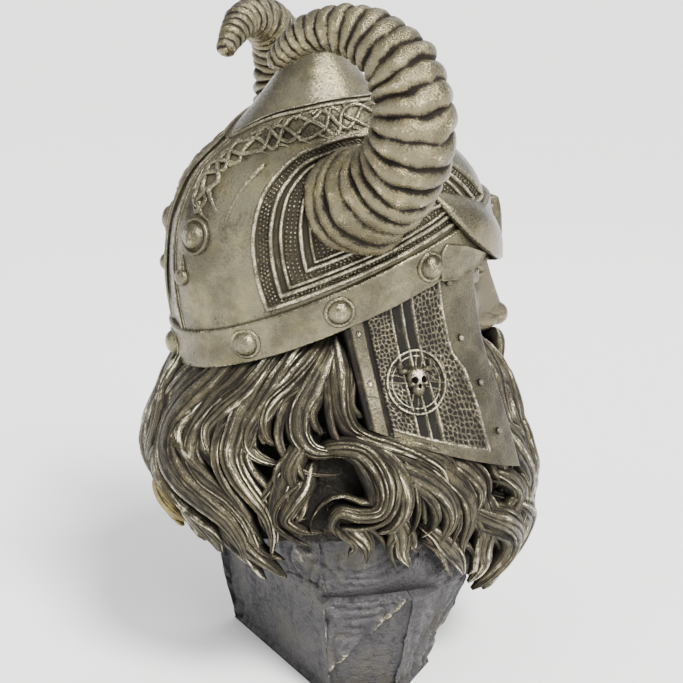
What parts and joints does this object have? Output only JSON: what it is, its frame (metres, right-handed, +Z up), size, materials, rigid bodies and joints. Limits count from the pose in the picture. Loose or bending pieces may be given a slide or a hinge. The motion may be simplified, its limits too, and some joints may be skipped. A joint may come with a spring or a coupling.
{
  "type": "odin bust",
  "caption": "Helmeted head with ringed curling horns, riveted rim band, ornamented cheek guards, flowing hair and long beard, on a rough rock foot.",
  "frame": {"origin": "middle of the flat underside of the rock foot", "axes": "+Z up, the face looks along -Y, the figure's right side is -X"},
  "size_m": [0.229, 0.2066, 0.3361],
  "materials": {
    "cast_body": "antique bronze and pewter tones, dark wash in the recesses, pale dry-brushed ridges"
  },
  "bodies": {
    "root": {"odin_bust": "cast_body"}
  },
  "joints": []
}
